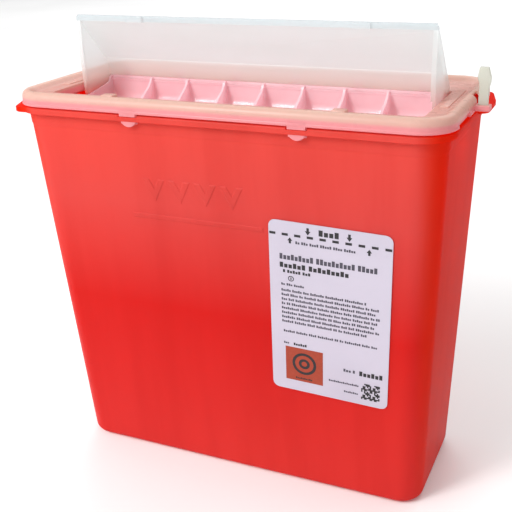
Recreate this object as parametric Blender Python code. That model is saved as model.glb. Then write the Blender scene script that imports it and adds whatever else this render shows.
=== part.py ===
"""Sharps container: a tapered tub, a push-on lid, a tipping flap with its ribbed tray, and a lock tab.

Metres, +Z up. The front wall faces -Y, the lock tab is on the +X end, and the base stands on Z = 0.
The flap stands open, which is its rest pose. Outlines are written in millimetres and scaled by MM.
"""
import math

import bmesh
import bpy
from mathutils import Vector

MM = 0.001

# Tub, outside faces (half widths and the two long walls)
WALL_TOP = 230.0
TOP_HALF_WIDTH = 125.0
TOP_HALF_DEPTH = 56.7
BASE_HALF_WIDTH = 116.0
BASE_FRONT = 36.2
BASE_BACK = 52.6
TOP_RADIUS = 15.8
BASE_RADIUS = 14.6
BASE_FILLET = 5.0
WALL = 1.8
CORNER_STEPS = 14

# Rim of the tub: a ledge with a turned-down lip, and an upright bead that the lid fits over
STEP_Z = 221.5
STEP_OUT = 0.35
LIP_LOW = 229.0
LEDGE_UNDER = 230.8
LEDGE_TOP = 232.5
LIP_IN = 2.3
LIP_OUT = 3.6
RIM_TOP = 236.6
LUG_LEFT = 136.0
LUG_RIGHT = 133.4
LUG_NEAR = 12.0
LUG_SHOULDER = 36.0
LUG_ROOT = 110.0
LUG_RADIUS = 6.0
SLOT_HALF = 6.0

# Raised fill marks on the front wall: a bar, and a row of chevrons that point down to it
BAR_LEFT = -55.0
BAR_RIGHT = 27.0
BAR_LOW = 170.8
BAR_TOP = 173.0
CHEVRON_COUNT = 4
CHEVRON_LEFT = -45.5
CHEVRON_PITCH = 16.2
CHEVRON_WIDTH = 13.0
CHEVRON_LOW = 182.5
CHEVRON_TOP = 195.0
CHEVRON_STROKE = 3.4
MARK_PROUD = 0.4
MARK_SUNK = 0.7

# Lid
SKIRT_LOW = 233.4
SKIRT_TOP = 238.0
SKIRT_OUT = 3.84
CREST_Z = 241.4
DECK_Z = 238.7
DECK = 1.5
MOUTH_HALF = 111.0
MOUTH_FRONT = -42.2
MOUTH_BACK = 24.5
MOUTH_LIP = 233.5
TONGUE_LEFT = -48.8
TONGUE_RIGHT = 50.6
HOOK_RADIUS = 5.3
HOOK_LOW = 225.9
TONGUE_HALF = 5.0
CATCH_X = 68.8
CATCH_HALF = 3.8
BRACKET_IN = 111.1
BRACKET_OUT = 113.4
PAD_IN = 113.9
PAD_OUT = 118.4
PAD_TOP = 239.3
RECESS_IN = 127.35
RECESS_OUT = 130.5
RECESS_NEAR = 14.0
RECESS_FAR = 41.0
RECESS_TOP = 236.4

# Flap and tray, which swing as one about the pivot pins
PIVOT_Y = 18.6
PIVOT_Z = 226.8
PIN_RADIUS = 2.2
BORE_RADIUS = 2.6
WING_OUT = 109.6
WING_IN = 108.0
LIP_Y = -12.2
FLAP_TOP = 279.5
TRAY_HALF = 107.6
TRAY_BACK = 16.9
TRAY_FLOOR = 221.0
SCOOP_RADIUS = 8.0
TRAY_WALL = 1.6
END_WALL = 1.35
SHIELD_RADIUS = 10.6
SHIELD_WALL = 1.4
RIB_PITCH = 25.6
RIB_COUNT = 7
RIB_HALF = 0.9
CLIP_PITCH = 38.4
CLIP_COUNT = 6
CLIP_HALF = 2.0
LATCH_HALF = 5.5

# Lock tab and its guide on the right-hand end of the lid
TAB_LEFT = 129.9
TAB_RIGHT = 135.0
TAB_LOW = 234.4
TAB_TOP = 256.8
TAB_HALF = 1.3
GUIDE_LOW = 234.1
GUIDE_TOP = 237.2
GUIDE_END = 136.4
GUIDE_HALF = 3.4
GUIDE_SLOT_HALF = 1.7

# Label on the front wall
LABEL_LEFT = 29.2
LABEL_TOP = 178.8
LABEL_WIDTH = 70.0
LABEL_HEIGHT = 110.0
LABEL_RADIUS = 4.0
LABEL_TILT = math.radians(-1.7)


# ---------------------------------------------------------------- helpers

def lerp(low, high, t):
    return low + (high - low) * t


def rounded_ring(half_x, front, back, radius, z):
    """Closed ring of points around a rounded rectangle, anticlockwise from above, in millimetres."""
    centres = (
        (half_x - radius, back - radius, 0.0),
        (-half_x + radius, back - radius, 90.0),
        (-half_x + radius, front + radius, 180.0),
        (half_x - radius, front + radius, 270.0),
    )
    ring = []
    for x, y, start in centres:
        for step in range(CORNER_STEPS + 1):
            angle = math.radians(start + 90.0 * step / CORNER_STEPS)
            ring.append((x + radius * math.cos(angle), y + radius * math.sin(angle), z))
    return ring


def wall_ring(z, offset=0.0):
    """The tub's tapered outline at height z, moved outwards by offset."""
    t = z / WALL_TOP
    half_x = lerp(BASE_HALF_WIDTH, TOP_HALF_WIDTH, t) + offset
    front = -lerp(BASE_FRONT, TOP_HALF_DEPTH, t) - offset
    back = lerp(BASE_BACK, TOP_HALF_DEPTH, t) + offset
    radius = max(lerp(BASE_RADIUS, TOP_RADIUS, t) + offset, 2.0)
    return rounded_ring(half_x, front, back, radius, z)


def rim_ring(z, offset):
    """The rim's outline, which is the tub's top outline moved outwards by offset at any height."""
    return rounded_ring(
        TOP_HALF_WIDTH + offset,
        -TOP_HALF_DEPTH - offset,
        TOP_HALF_DEPTH + offset,
        TOP_RADIUS + offset,
        z,
    )


def mouth_ring(z, offset=0.0):
    """The outline of the lid's mouth, moved outwards by offset."""
    return rounded_ring(
        MOUTH_HALF + offset, MOUTH_FRONT - offset, MOUTH_BACK + offset, 3.0 + offset, z
    )


def front_wall_y(z):
    return -lerp(BASE_FRONT, TOP_HALF_DEPTH, z / WALL_TOP)


def add_loft(bm, rings, close=False):
    """Skin consecutive rings; an open loft gets an end cap on its first and last ring."""
    loops = [[bm.verts.new(Vector(point) * MM) for point in ring] for ring in rings]
    pairs = list(zip(loops, loops[1:]))
    if close:
        pairs.append((loops[-1], loops[0]))
    else:
        bm.faces.new(loops[0])
        bm.faces.new(loops[-1])
    for low, high in pairs:
        for i in range(len(low)):
            j = (i + 1) % len(low)
            bm.faces.new((low[i], low[j], high[j], high[i]))


def add_prism(bm, low_points, high_points):
    """A solid between two matching outlines."""
    add_loft(bm, [low_points, high_points])


def prism_along_x(bm, outline, low, high):
    add_prism(bm, [(low, y, z) for y, z in outline], [(high, y, z) for y, z in outline])


def prism_along_y(bm, outline, low, high):
    add_prism(bm, [(x, low, z) for x, z in outline], [(x, high, z) for x, z in outline])


def prism_along_z(bm, outline, low, high):
    add_prism(bm, [(x, y, low) for x, y in outline], [(x, y, high) for x, y in outline])


def box(bm, low, high):
    outline = ((low[0], low[1]), (high[0], low[1]), (high[0], high[1]), (low[0], high[1]))
    prism_along_z(bm, outline, low[2], high[2])


def circle(centre, radius, steps, start=0.0, sweep=360.0):
    """Points on an arc; a full circle leaves its last point to the first."""
    last = steps if sweep >= 360.0 else steps - 1
    points = []
    for step in range(steps):
        angle = math.radians(start + sweep * step / last)
        points.append((centre[0] + radius * math.cos(angle), centre[1] + radius * math.sin(angle)))
    return points


def rounded_outline(corners, radius, steps=5):
    """Round each corner of a convex outline given anticlockwise as (x, y)."""
    points = []
    count = len(corners)
    for i, corner in enumerate(corners):
        here = Vector(corner)
        back = (Vector(corners[i - 1]) - here).normalized()
        ahead = (Vector(corners[(i + 1) % count]) - here).normalized()
        half_angle = back.angle(ahead) / 2
        reach = radius / math.tan(half_angle)
        centre = here + (back + ahead).normalized() * (radius / math.sin(half_angle))
        first = here + back * reach - centre
        last = here + ahead * reach - centre
        turn = first.angle_signed(last)
        for step in range(steps + 1):
            spoke = first.copy()
            angle = -turn * step / steps
            points.append((
                centre.x + spoke.x * math.cos(angle) - spoke.y * math.sin(angle),
                centre.y + spoke.x * math.sin(angle) + spoke.y * math.cos(angle),
            ))
    return points


def material(name, colour, roughness):
    made = bpy.data.materials.new(name)
    made.use_nodes = True
    shader = made.node_tree.nodes["Principled BSDF"]
    shader.inputs["Base Color"].default_value = (*colour, 1.0)
    shader.inputs["Roughness"].default_value = roughness
    shader.inputs["Metallic"].default_value = 0.0
    return made


def new_object(name, bm, pivot=(0.0, 0.0, 0.0)):
    """Turn a bmesh into an object whose origin is at the pivot, in millimetres."""
    bmesh.ops.recalc_face_normals(bm, faces=bm.faces[:])
    bmesh.ops.translate(bm, verts=bm.verts[:], vec=-Vector(pivot) * MM)
    mesh = bpy.data.meshes.new(name)
    bm.to_mesh(mesh)
    bm.free()
    made = bpy.data.objects.new(name, mesh)
    made.location = Vector(pivot) * MM
    bpy.context.scene.collection.objects.link(made)
    return made


def finish_part(part, look):
    part.data.materials.append(look)
    part.data.shade_smooth()
    part.data.set_sharp_from_angle(angle=math.radians(35))


def shape_with(part, bm, operation, label):
    """Join or cut a part with the shapes in a bmesh, kept as a hidden guide object."""
    guide = new_object(part.name + "_" + label, bm)
    guide.hide_render = True
    guide.display_type = "WIRE"
    modifier = part.modifiers.new(label, "BOOLEAN")
    modifier.operation = operation
    modifier.solver = "EXACT"
    modifier.object = guide


def mirrored_y(outline):
    return [(-y, z) for y, z in outline]


# ---------------------------------------------------------------- tub

def tub_rings():
    rings = [wall_ring(0.0, -BASE_FILLET)]
    for step in range(1, 5):
        angle = math.radians(90.0 * step / 4)
        rings.append(wall_ring(BASE_FILLET * (1 - math.cos(angle)), -BASE_FILLET * (1 - math.sin(angle))))
    rings += [
        wall_ring(STEP_Z),
        wall_ring(STEP_Z + 1.0, STEP_OUT),
        rim_ring(LEDGE_UNDER, STEP_OUT),
        rim_ring(LEDGE_UNDER, LIP_IN),
        rim_ring(LIP_LOW, LIP_IN),
        rim_ring(LIP_LOW, LIP_OUT),
        rim_ring(LEDGE_TOP, LIP_OUT),
        rim_ring(LEDGE_TOP, STEP_OUT),
        rim_ring(RIM_TOP - 0.8, STEP_OUT),
        rim_ring(RIM_TOP, -0.4),
        rim_ring(RIM_TOP, -WALL),
        wall_ring(STEP_Z, -WALL),
        wall_ring(WALL + 4.0, -WALL),
        wall_ring(WALL + 1.2, -WALL - 1.2),
        wall_ring(WALL, -WALL - 4.0),
    ]
    return rings


def tongue_slot(side):
    """Cutter for the slot in the ledge that a lid tongue drops through; side is -1 front, 1 back."""
    outline = [
        (TOP_HALF_DEPTH + out, z)
        for out, z in ((0.55, 227.5), (2.45, 227.5), (2.45, 231.5), (4.5, 231.5), (4.5, 233.2), (0.55, 233.2))
    ]
    return outline if side > 0 else mirrored_y(outline)


def fill_mark(bm, outline):
    """A raised mark on the sloping front wall, given by its (x, z) outline."""
    sunk = [(x, front_wall_y(z) + MARK_SUNK, z) for x, z in outline]
    proud = [(x, front_wall_y(z) - MARK_PROUD, z) for x, z in outline]
    add_prism(bm, sunk, proud)


def make_tub():
    bm = bmesh.new()
    add_loft(bm, tub_rings())
    tub = new_object("tub", bm)

    lugs = bmesh.new()
    for turn, reach, taper, far in ((1, LUG_RIGHT, 5.5, 59.8), (-1, LUG_LEFT, 9.0, 58.0)):
        corners = [
            (LUG_ROOT, LUG_NEAR), (reach, LUG_NEAR), (reach, LUG_SHOULDER), (reach - taper, far),
            (LUG_ROOT, far),
        ]
        outline = [(turn * x, turn * y) for x, y in rounded_outline(corners, LUG_RADIUS)]
        prism_along_z(lugs, outline, LIP_LOW + 0.3, LEDGE_TOP - 0.25)
    shape_with(tub, lugs, "UNION", "lugs")

    hollow = bmesh.new()
    add_loft(hollow, [
        rim_ring(RIM_TOP + 2.0, -WALL),
        rim_ring(LEDGE_TOP, -WALL),
        wall_ring(STEP_Z, -WALL),
        wall_ring(WALL + 8.0, -WALL),
    ])
    shape_with(tub, hollow, "DIFFERENCE", "hollow")

    slots = bmesh.new()
    for side in (-1, 1):
        for x in (side * -TONGUE_LEFT, side * -TONGUE_RIGHT):
            prism_along_x(slots, tongue_slot(side), x - SLOT_HALF, x + SLOT_HALF)
    shape_with(tub, slots, "DIFFERENCE", "slots")

    marks = bmesh.new()
    fill_mark(marks, ((BAR_LEFT, BAR_LOW), (BAR_RIGHT, BAR_LOW), (BAR_RIGHT, BAR_TOP), (BAR_LEFT, BAR_TOP)))
    notch = CHEVRON_LOW + CHEVRON_STROKE * 2 * (CHEVRON_TOP - CHEVRON_LOW) / CHEVRON_WIDTH
    for index in range(CHEVRON_COUNT):
        left = CHEVRON_LEFT + CHEVRON_PITCH * index
        middle = left + CHEVRON_WIDTH / 2
        right = left + CHEVRON_WIDTH
        fill_mark(marks, (
            (left, CHEVRON_TOP), (middle, CHEVRON_LOW), (right, CHEVRON_TOP),
            (right - CHEVRON_STROKE, CHEVRON_TOP), (middle, notch), (left + CHEVRON_STROKE, CHEVRON_TOP),
        ))
    shape_with(tub, marks, "UNION", "fill_marks")
    finish_part(tub, material("tub_red", (0.78, 0.05, 0.04), 0.32))


# ---------------------------------------------------------------- lid

def lid_rings():
    """Section of the lid as a closed chain of rings: skirt, rounded rim, deck, mouth, plug and channel."""
    return [
        rim_ring(SKIRT_LOW, SKIRT_OUT),
        rim_ring(SKIRT_TOP, SKIRT_OUT),
        rim_ring(SKIRT_TOP + 1.1, SKIRT_OUT - 0.25),
        rim_ring(SKIRT_TOP + 2.1, SKIRT_OUT - 0.9),
        rim_ring(CREST_Z - 0.5, SKIRT_OUT - 2.1),
        rim_ring(CREST_Z - 0.1, SKIRT_OUT - 3.4),
        rim_ring(CREST_Z, SKIRT_OUT - 4.4),
        rim_ring(CREST_Z - 0.4, SKIRT_OUT - 6.2),
        rim_ring(CREST_Z - 1.6, SKIRT_OUT - 8.0),
        rim_ring(DECK_Z, SKIRT_OUT - 9.4),
        mouth_ring(DECK_Z, 0.0),
        mouth_ring(MOUTH_LIP, 0.0),
        mouth_ring(MOUTH_LIP, DECK),
        mouth_ring(DECK_Z - DECK, DECK),
        rim_ring(DECK_Z - DECK, -3.7),
        rim_ring(229.5, -3.7),
        rim_ring(229.5, -2.2),
        rim_ring(239.6, -2.2),
        rim_ring(240.0, 0.6),
        rim_ring(238.6, 2.3),
        rim_ring(SKIRT_LOW, 2.3),
    ]


def add_tongues(uppers, hooks):
    """Four snap tongues: a shank through the ledge's slot, and a rounded hook below the lip."""
    shank = [
        (TOP_HALF_DEPTH + out, z)
        for out, z in ((0.85, 227.6), (2.1, 227.6), (2.1, 231.9), (3.75, 231.9), (3.75, 235.0), (0.85, 235.0))
    ]
    for side in (-1, 1):
        outline = shank if side > 0 else mirrored_y(shank)
        near = side * (TOP_HALF_DEPTH + 0.86)
        far = side * (TOP_HALF_DEPTH + 3.2)
        for x in (side * -TONGUE_LEFT, side * -TONGUE_RIGHT):
            prism_along_x(uppers, outline, x - TONGUE_HALF, x + TONGUE_HALF)
            tip = circle((x, HOOK_LOW + HOOK_RADIUS), HOOK_RADIUS, 9, 210.0, 120.0)
            prism_along_y(hooks, tip, min(near, far), max(near, far))


def make_lid():
    bm = bmesh.new()
    add_loft(bm, lid_rings(), close=True)
    lid = new_object("lid", bm)

    joined = bmesh.new()
    hooks = bmesh.new()
    add_tongues(joined, hooks)
    bracket = [
        (PIVOT_Y - 7.5, 236.0), (PIVOT_Y - 7.5, 224.5), (PIVOT_Y - 4.0, 221.0),
        (PIVOT_Y + 4.0, 221.0), (PIVOT_Y + 7.5, 224.5), (PIVOT_Y + 7.5, 236.0),
    ]
    for side in (-1, 1):
        near, far = sorted((side * BRACKET_IN, side * BRACKET_OUT))
        prism_along_x(joined, bracket, near, far)
        near, far = sorted((side * PAD_IN, side * PAD_OUT))
        box(joined, (near, -20.0, DECK_Z - 0.7), (far, 26.0, PAD_TOP))
        middle = side * CATCH_X
        box(
            joined,
            (middle - CATCH_HALF, MOUTH_FRONT - 6.8, DECK_Z - 0.7),
            (middle + CATCH_HALF, MOUTH_FRONT - 0.7, DECK_Z + 1.7),
        )
    box(joined, (127.2, -GUIDE_HALF, GUIDE_LOW), (GUIDE_END, GUIDE_HALF, GUIDE_TOP))
    shape_with(lid, joined, "UNION", "fittings")
    shape_with(lid, hooks, "UNION", "hooks")

    cuts = bmesh.new()
    under = SKIRT_LOW - 1.4
    for side in (-1, 1):
        near, far = sorted((side * (BRACKET_IN - 6.0), side * (BRACKET_OUT + 2.6)))
        prism_along_x(cuts, circle((PIVOT_Y, PIVOT_Z), BORE_RADIUS, 20), near, far)
    box(cuts, (RECESS_IN, -RECESS_FAR, under), (RECESS_OUT, -RECESS_NEAR, RECESS_TOP))
    box(cuts, (-RECESS_OUT, RECESS_NEAR, under), (-RECESS_IN, RECESS_FAR, RECESS_TOP))
    box(cuts, (129.5, -GUIDE_SLOT_HALF, under), (135.4, GUIDE_SLOT_HALF, GUIDE_TOP + 1.8))
    box(cuts, (125.2, GUIDE_HALF, 233.0), (RECESS_OUT, 15.0, CREST_Z + 1.6))
    box(cuts, (-109.5, MOUTH_BACK - 1.0, under), (109.5, MOUTH_BACK + 3.0, DECK_Z - DECK))
    shape_with(lid, cuts, "DIFFERENCE", "openings")
    finish_part(lid, material("lid_natural", (0.90, 0.82, 0.76), 0.35))


# ---------------------------------------------------------------- flap and tray

def panel_outline():
    """Section of the flap: the pull lip, the leaning panel and the steeper strip below its crease."""
    return [
        (LIP_Y, FLAP_TOP - 3.3), (LIP_Y, FLAP_TOP), (LIP_Y + 1.8, FLAP_TOP), (LIP_Y + 1.8, FLAP_TOP - 1.8),
        (15.2, 251.1), (18.3, 239.3), (16.6, 239.0), (13.5, 250.2), (LIP_Y + 0.8, FLAP_TOP - 3.3),
    ]


def wing_outline():
    """End plate of the flap, from the lip down past the pivot."""
    heel = circle((PIVOT_Y, PIVOT_Z), 6.4, 8, 250.0, 110.0)
    return heel + [
        (24.0, 233.0), (24.0, 240.6), (-10.1, 278.0), (-12.0, 278.6), (-12.0, 250.0), (-10.0, 226.0),
        (-8.0, 223.4), (-4.0, 221.6),
    ]


def make_flap():
    pivot = (0.0, PIVOT_Y, PIVOT_Z)
    bm = bmesh.new()
    prism_along_x(bm, panel_outline(), -WING_IN - 0.8, WING_IN + 0.8)
    flap = new_object("flap", bm, pivot)

    wings = bmesh.new()
    fittings = bmesh.new()
    strip = [(-12.0, 278.4), (-12.0, 250.0), (-11.1, 239.5), (-9.5, 239.5), (-10.4, 250.0), (-10.4, 276.0)]
    for side in (-1, 1):
        near, far = sorted((side * WING_IN, side * WING_OUT))
        prism_along_x(wings, wing_outline(), near, far)
        near, far = sorted((side * (WING_IN - 1.0), side * (WING_IN + 0.8)))
        prism_along_x(fittings, strip, near, far)
        near, far = sorted((side * (WING_IN + 0.5), side * 113.0))
        prism_along_x(fittings, circle((PIVOT_Y, PIVOT_Z), PIN_RADIUS, 20), near, far)
        middle = side * CATCH_X
        box(
            fittings,
            (middle - LATCH_HALF, LIP_Y - 1.4, FLAP_TOP - 3.5),
            (middle + LATCH_HALF, LIP_Y + 0.9, FLAP_TOP - 0.4),
        )
    shape_with(flap, wings, "UNION", "wings")
    shape_with(flap, fittings, "UNION", "pins_and_latches")
    finish_part(flap, material("flap_natural", (0.91, 0.90, 0.88), 0.30))


def tray_outline():
    """Section of the trough: back wall, scooped inside corner, floor and a small front lip."""
    middle = (TRAY_BACK - SCOOP_RADIUS, TRAY_FLOOR + SCOOP_RADIUS)
    inside = circle(middle, SCOOP_RADIUS, 7, 0.0, -90.0)
    outside = circle(middle, SCOOP_RADIUS + TRAY_WALL, 7, -90.0, 90.0)
    front = [(-33.2, 223.2), (-36.4, 227.0), (-37.8, 226.2), (-34.2, 221.6)]
    top = [(TRAY_BACK + TRAY_WALL, 238.6), (TRAY_BACK, 238.6)]
    return top + inside + front + outside


def tray_end_outline():
    """Low end wall of the trough, inside the wing."""
    return [
        (TRAY_BACK + 0.8, 236.0), (8.0, 234.0), (-35.5, 227.5), (-34.4, 222.6), (8.9, 220.4),
        (14.5, 222.4), (17.6, 227.5),
    ]


def shield_outline():
    """Curved skirt behind the tray, centred on the pivot, that keeps the slot behind the flap shut."""
    centre = (PIVOT_Y, PIVOT_Z)
    outer = circle(centre, SHIELD_RADIUS, 13, 8.0, 96.0)
    inner = circle(centre, SHIELD_RADIUS - SHIELD_WALL, 13, 104.0, -96.0)
    return outer + inner


def make_tray():
    pivot = (0.0, PIVOT_Y, PIVOT_Z)
    bm = bmesh.new()
    prism_along_x(bm, tray_outline(), -TRAY_HALF, TRAY_HALF)
    tray = new_object("tray", bm, pivot)

    ribs = bmesh.new()
    gusset = [
        (17.5, 237.8), (14.2, 237.8), (12.4, 235.2), (9.8, 232.6), (6.0, 230.7), (2.0, 228.3),
        (-4.5, 220.6), (9.0, 220.3), (14.5, 222.4), (17.5, 228.0),
    ]
    for index in range(RIB_COUNT):
        x = RIB_PITCH * (index - (RIB_COUNT - 1) / 2)
        prism_along_x(ribs, gusset, x - RIB_HALF, x + RIB_HALF)
    for side in (-1, 1):
        near, far = sorted((side * (TRAY_HALF - 0.05 - END_WALL), side * (TRAY_HALF - 0.05)))
        prism_along_x(ribs, tray_end_outline(), near, far)
    shape_with(tray, ribs, "UNION", "ribs")

    shields = bmesh.new()
    prism_along_x(shields, shield_outline(), 0.1 - TRAY_HALF, TRAY_HALF - 0.1)
    shape_with(tray, shields, "UNION", "shield")

    clips = bmesh.new()
    hook = [(17.7, 235.0), (20.8, 235.0), (20.8, 243.5), (18.8, 243.5), (18.8, 238.3), (17.7, 238.3)]
    for index in range(CLIP_COUNT):
        x = CLIP_PITCH * (index - (CLIP_COUNT - 1) / 2)
        prism_along_x(clips, hook, x - CLIP_HALF, x + CLIP_HALF)
    shape_with(tray, clips, "UNION", "clips")
    finish_part(tray, material("tray_natural", (0.90, 0.80, 0.78), 0.25))


# ---------------------------------------------------------------- lock tab and label

def make_lock_tab():
    outline = [
        (TAB_LEFT + 0.8, TAB_LOW), (TAB_RIGHT - 0.8, TAB_LOW), (TAB_RIGHT, TAB_LOW + 1.5),
        (TAB_RIGHT, 246.2), (TAB_RIGHT + 0.7, 249.0), (TAB_RIGHT + 0.7, 251.8), (TAB_RIGHT - 0.8, TAB_TOP),
        (TAB_LEFT - 0.3, TAB_TOP), (TAB_LEFT - 1.1, 251.4), (TAB_LEFT, 248.0), (TAB_LEFT, TAB_LOW + 1.5),
    ]
    bm = bmesh.new()
    prism_along_y(bm, outline, -TAB_HALF, TAB_HALF)
    tab = new_object("lock_tab", bm, ((TAB_LEFT + TAB_RIGHT) / 2, 0.0, TAB_LOW))
    bevel = tab.modifiers.new("soft_edges", "BEVEL")
    bevel.width = 0.0003
    bevel.segments = 2
    finish_part(tab, material("tab_white", (0.90, 0.89, 0.86), 0.35))


def make_label():
    """Paper label, 0.3 mm off the sloping front wall and turned a little clockwise."""
    slope = math.atan((TOP_HALF_DEPTH - BASE_FRONT) / WALL_TOP)
    half_width = LABEL_WIDTH / 2
    half_height = LABEL_HEIGHT / 2
    centre = (LABEL_LEFT + half_width, LABEL_TOP - half_height * math.cos(slope))
    corners = [
        (-half_width, -half_height), (half_width, -half_height),
        (half_width, half_height), (-half_width, half_height),
    ]
    layers = []
    for lift in (0.3, 0.65):
        layer = []
        for across, up in rounded_outline(corners, LABEL_RADIUS):
            x = centre[0] + across * math.cos(LABEL_TILT) - up * math.sin(LABEL_TILT)
            z = centre[1] + (across * math.sin(LABEL_TILT) + up * math.cos(LABEL_TILT)) * math.cos(slope)
            layer.append((x, front_wall_y(z) - lift, z))
        layers.append(layer)
    bm = bmesh.new()
    add_prism(bm, layers[0], layers[1])
    label = new_object("label", bm)
    finish_part(label, material("label_paper", (0.82, 0.80, 0.85), 0.55))


def main():
    for old in list(bpy.data.objects):
        bpy.data.objects.remove(old)
    make_tub()
    make_lid()
    make_flap()
    make_tray()
    make_lock_tab()
    make_label()


main()
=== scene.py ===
"""Visual model of the sharps container: finer shells, translucent plastics, the printed label, the studio.

Lengths in the outlines are millimetres in the CAD frame, scaled by MM. The front wall faces -Y.
"""
import math

import bmesh
import bpy
from mathutils import Euler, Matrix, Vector


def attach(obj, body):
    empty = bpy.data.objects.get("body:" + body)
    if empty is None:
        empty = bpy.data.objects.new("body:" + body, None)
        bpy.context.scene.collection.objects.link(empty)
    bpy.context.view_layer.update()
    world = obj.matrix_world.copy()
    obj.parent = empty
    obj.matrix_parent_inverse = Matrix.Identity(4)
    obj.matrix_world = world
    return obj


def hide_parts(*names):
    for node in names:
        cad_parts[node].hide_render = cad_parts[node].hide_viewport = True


MM = 0.001

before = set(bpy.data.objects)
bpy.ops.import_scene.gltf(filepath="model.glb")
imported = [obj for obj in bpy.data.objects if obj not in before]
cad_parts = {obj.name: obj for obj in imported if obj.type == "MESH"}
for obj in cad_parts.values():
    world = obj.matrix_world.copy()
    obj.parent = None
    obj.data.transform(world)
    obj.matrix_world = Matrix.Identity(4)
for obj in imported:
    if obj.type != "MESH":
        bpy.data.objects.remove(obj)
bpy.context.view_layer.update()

# Tub, as in the CAD model
WALL_TOP = 230.0
TOP_HALF_WIDTH = 125.0
TOP_HALF_DEPTH = 56.7
BASE_HALF_WIDTH = 116.0
BASE_FRONT = 36.2
BASE_BACK = 52.6
TOP_RADIUS = 15.8
BASE_RADIUS = 14.6
BASE_FILLET = 5.0
WALL = 1.8
STEP_Z = 221.5
STEP_OUT = 0.35
LIP_LOW = 229.0
LEDGE_UNDER = 230.8
LEDGE_TOP = 232.5
LIP_IN = 2.3
LIP_OUT = 3.6
RIM_TOP = 236.6
LUG_LEFT = 136.0
LUG_RIGHT = 133.4
LUG_NEAR = 12.0
LUG_SHOULDER = 36.0
LUG_ROOT = 110.0
LUG_RADIUS = 6.0
SLOT_HALF = 6.0
CORNER_STEPS = 20
FILLET_STEPS = 8
# Each lug: 1 or, turned half round, -1; its reach along X; the taper of its far corner; its far edge
LUGS = ((1, LUG_RIGHT, 5.5, 59.8), (-1, LUG_LEFT, 9.0, 58.0))
# Section of a tongue's slot: distance out from the top's half depth, and height
SLOT_SECTION = ((0.55, 227.5), (2.45, 227.5), (2.45, 231.5), (4.5, 231.5), (4.5, 233.2), (0.55, 233.2))

# Raised fill marks: a bar, and a row of chevrons that point down to it
BAR_LEFT = -55.0
BAR_RIGHT = 27.0
BAR_LOW = 170.8
BAR_TOP = 173.0
CHEVRON_COUNT = 4
CHEVRON_LEFT = -45.5
CHEVRON_PITCH = 16.2
CHEVRON_WIDTH = 13.0
CHEVRON_LOW = 182.5
CHEVRON_TOP = 195.0
CHEVRON_STROKE = 3.4
MARK_ROOT = -0.4
MARK_PROUD = 0.35
MARK_SLOPE = 0.5

# Lid
SKIRT_LOW = 233.4
SKIRT_OUT = 3.84
SKIRT_IN = 2.3
SKIRT_ROUND = 0.4
CROWN_START = SKIRT_LOW + 4.4
CROWN_REACH = 3.8
CROWN_STEPS = 10
CREST_Z = 241.4
DECK_Z = 238.7
DECK = 1.5
DECK_REACH = 5.6
DECK_STEPS = 8
MOUTH_HALF = 111.0
MOUTH_FRONT = -42.2
MOUTH_BACK = 24.5
MOUTH_RADIUS = 3.0
MOUTH_LIP = 233.5
PLUG_LOW = 229.5
PLUG_IN = -3.7
PLUG_OUT = -2.2
TONGUES = (-48.8, 50.6)
TONGUE_HALF = 5.0
HOOK_RADIUS = 5.3
HOOK_LOW = 225.9
# Section of a tongue's shank: distance out from the top's half depth, and height
SHANK_SECTION = ((0.85, 227.6), (2.1, 227.6), (2.1, 231.9), (3.75, 231.9), (3.75, 235.6), (0.85, 235.6))
SUNK_Z = DECK_Z - 0.7
CATCH_X = 68.8
CATCH_HALF = 3.8
CATCH_NEAR = MOUTH_FRONT - 6.8
CATCH_FAR = MOUTH_FRONT - 0.7
CATCH_TOP = DECK_Z + 1.7
BRACKET_IN = 111.1
BRACKET_OUT = 113.4
BRACKET_HALF = 7.5
BRACKET_LOW = 221.0
BRACKET_TOP = 236.0
BRACKET_RADIUS = 5.0
BORE_RADIUS = 2.6
BORE_STEPS = 32
PAD_IN = 113.9
PAD_OUT = 118.4
PAD_NEAR = -20.0
PAD_FAR = 26.0
PAD_TOP = 239.3
RECESS_IN = 127.35
RECESS_OUT = 130.5
RECESS_NEAR = 14.0
RECESS_FAR = 41.0
RECESS_TOP = 236.4
NOTCH_IN = 125.2
NOTCH_FAR = 15.0
NOTCH_LOW = 233.0
RELIEF_HALF = 109.5
CUT_LOW = SKIRT_LOW - 1.4

# Flap and tray
PIVOT_Y = 18.6
PIVOT_Z = 226.8
FLAP_TOP = 279.5
TRAY_HALF = 107.6
TRAY_BACK = 16.9
TRAY_FLOOR = 221.0
SCOOP_RADIUS = 8.0
TRAY_WALL = 1.6
SHIELD_RADIUS = 10.6
SHIELD_WALL = 1.4
SHIELD_START = 8.0
SHIELD_SWEEP = 96.0
SHIELD_STEPS = 25
END_WALL = 1.35
RIB_PITCH = 25.6
RIB_COUNT = 7
RIB_HALF = 0.85
BAY_CORNER = 5.0
BAY_STEPS = 9
BAY_TOP = 246.0
BAY_DRAFT = 0.35
BAY_SLOPE = 0.052
BAY_DEPTHS = (-14.0, -6.0, 2.0)
SCOOP_ANGLES = (0, 12, 24, 36, 48, 60, 70, 78, 84, 88)
# Control points (y, z) of a rib's free edge, and outlines (y, z) of the front lip, end wall and clip
RIB_CURVE = ((14.6, 237.8), (11.6, 230.6), (3.6, 232.6), (-4.0, 221.7))
RIB_STEPS = 16
TROUGH_LIP = (
    (-33.2, 223.2), (-36.0, 226.9), (-36.9, 227.1), (-37.7, 226.3), (-34.2, 221.4), (-32.0, 221.0),
)
END_SECTION = (
    (TRAY_BACK + 0.8, 236.0), (8.0, 234.0), (-35.5, 227.5), (-34.4, 222.6), (8.9, 220.4),
    (14.5, 222.4), (17.6, 227.5),
)
CLIP_SECTION = ((17.7, 235.0), (20.8, 235.0), (20.8, 243.5), (18.8, 243.5), (18.8, 238.3), (17.7, 238.3))
CLIP_PITCH = 38.4
CLIP_COUNT = 6
CLIP_HALF = 2.0

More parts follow.
